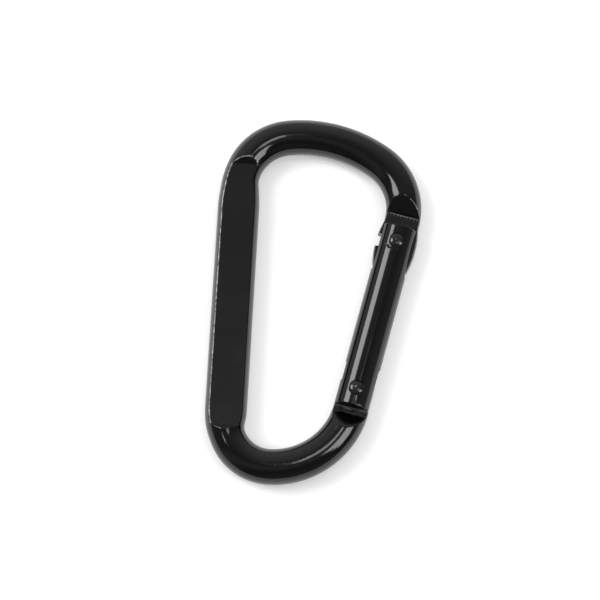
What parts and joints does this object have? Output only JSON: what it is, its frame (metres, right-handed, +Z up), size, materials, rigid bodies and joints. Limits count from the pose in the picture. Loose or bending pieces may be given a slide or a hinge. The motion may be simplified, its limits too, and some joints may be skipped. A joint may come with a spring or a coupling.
{
  "type": "snap carabiner",
  "caption": "Small D-shaped snap carabiner in gloss black: a bent rod with a pressed flat spine and a sprung straight gate that opens inwards.",
  "frame": {"origin": "middle of the outline in X and Y, on the surface that the carabiner lies on", "axes": "+Y along the spine towards the wide end, +X from the spine towards the gate, +Z up through the rivets"},
  "size_m": [0.0326, 0.06, 0.0059],
  "materials": {
    "coated_body": "gloss black coat on aluminium, satin on the pressed flats",
    "coated_gate": "gloss black coat on aluminium",
    "dark_rivet": "blackened steel, burnished on the dome",
    "spring_steel": "drawn spring wire",
    "plunger_steel": "turned steel"
  },
  "bodies": {
    "frame": {"body": "coated_body"},
    "gate": {"gate": "coated_gate", "hinge_rivet": "dark_rivet", "latch_rivet": "dark_rivet", "spring": "spring_steel"},
    "plunger": {"plunger": "plunger_steel"}
  },
  "joints": [
    {"name": "gate_hinge", "type": "hinge", "parent": "frame", "child": "gate", "pos_m": [0.00735, -0.01423, 0.00295], "axis": [0, 0, 1], "range_deg": [0, 45], "stiffness_Nm_per_rad": 0.012, "springref_deg": -97.4},
    {"name": "plunger_slide", "type": "slide", "parent": "gate", "child": "plunger", "axis": [0.2079, 0.9781, 0], "range_m": [0, 0.000982], "deforming": ["spring"]}
  ],
  "couplings": [
    {"joint": "plunger_slide", "follows": "gate_hinge", "m_per_rad": 0.00125}
  ]
}
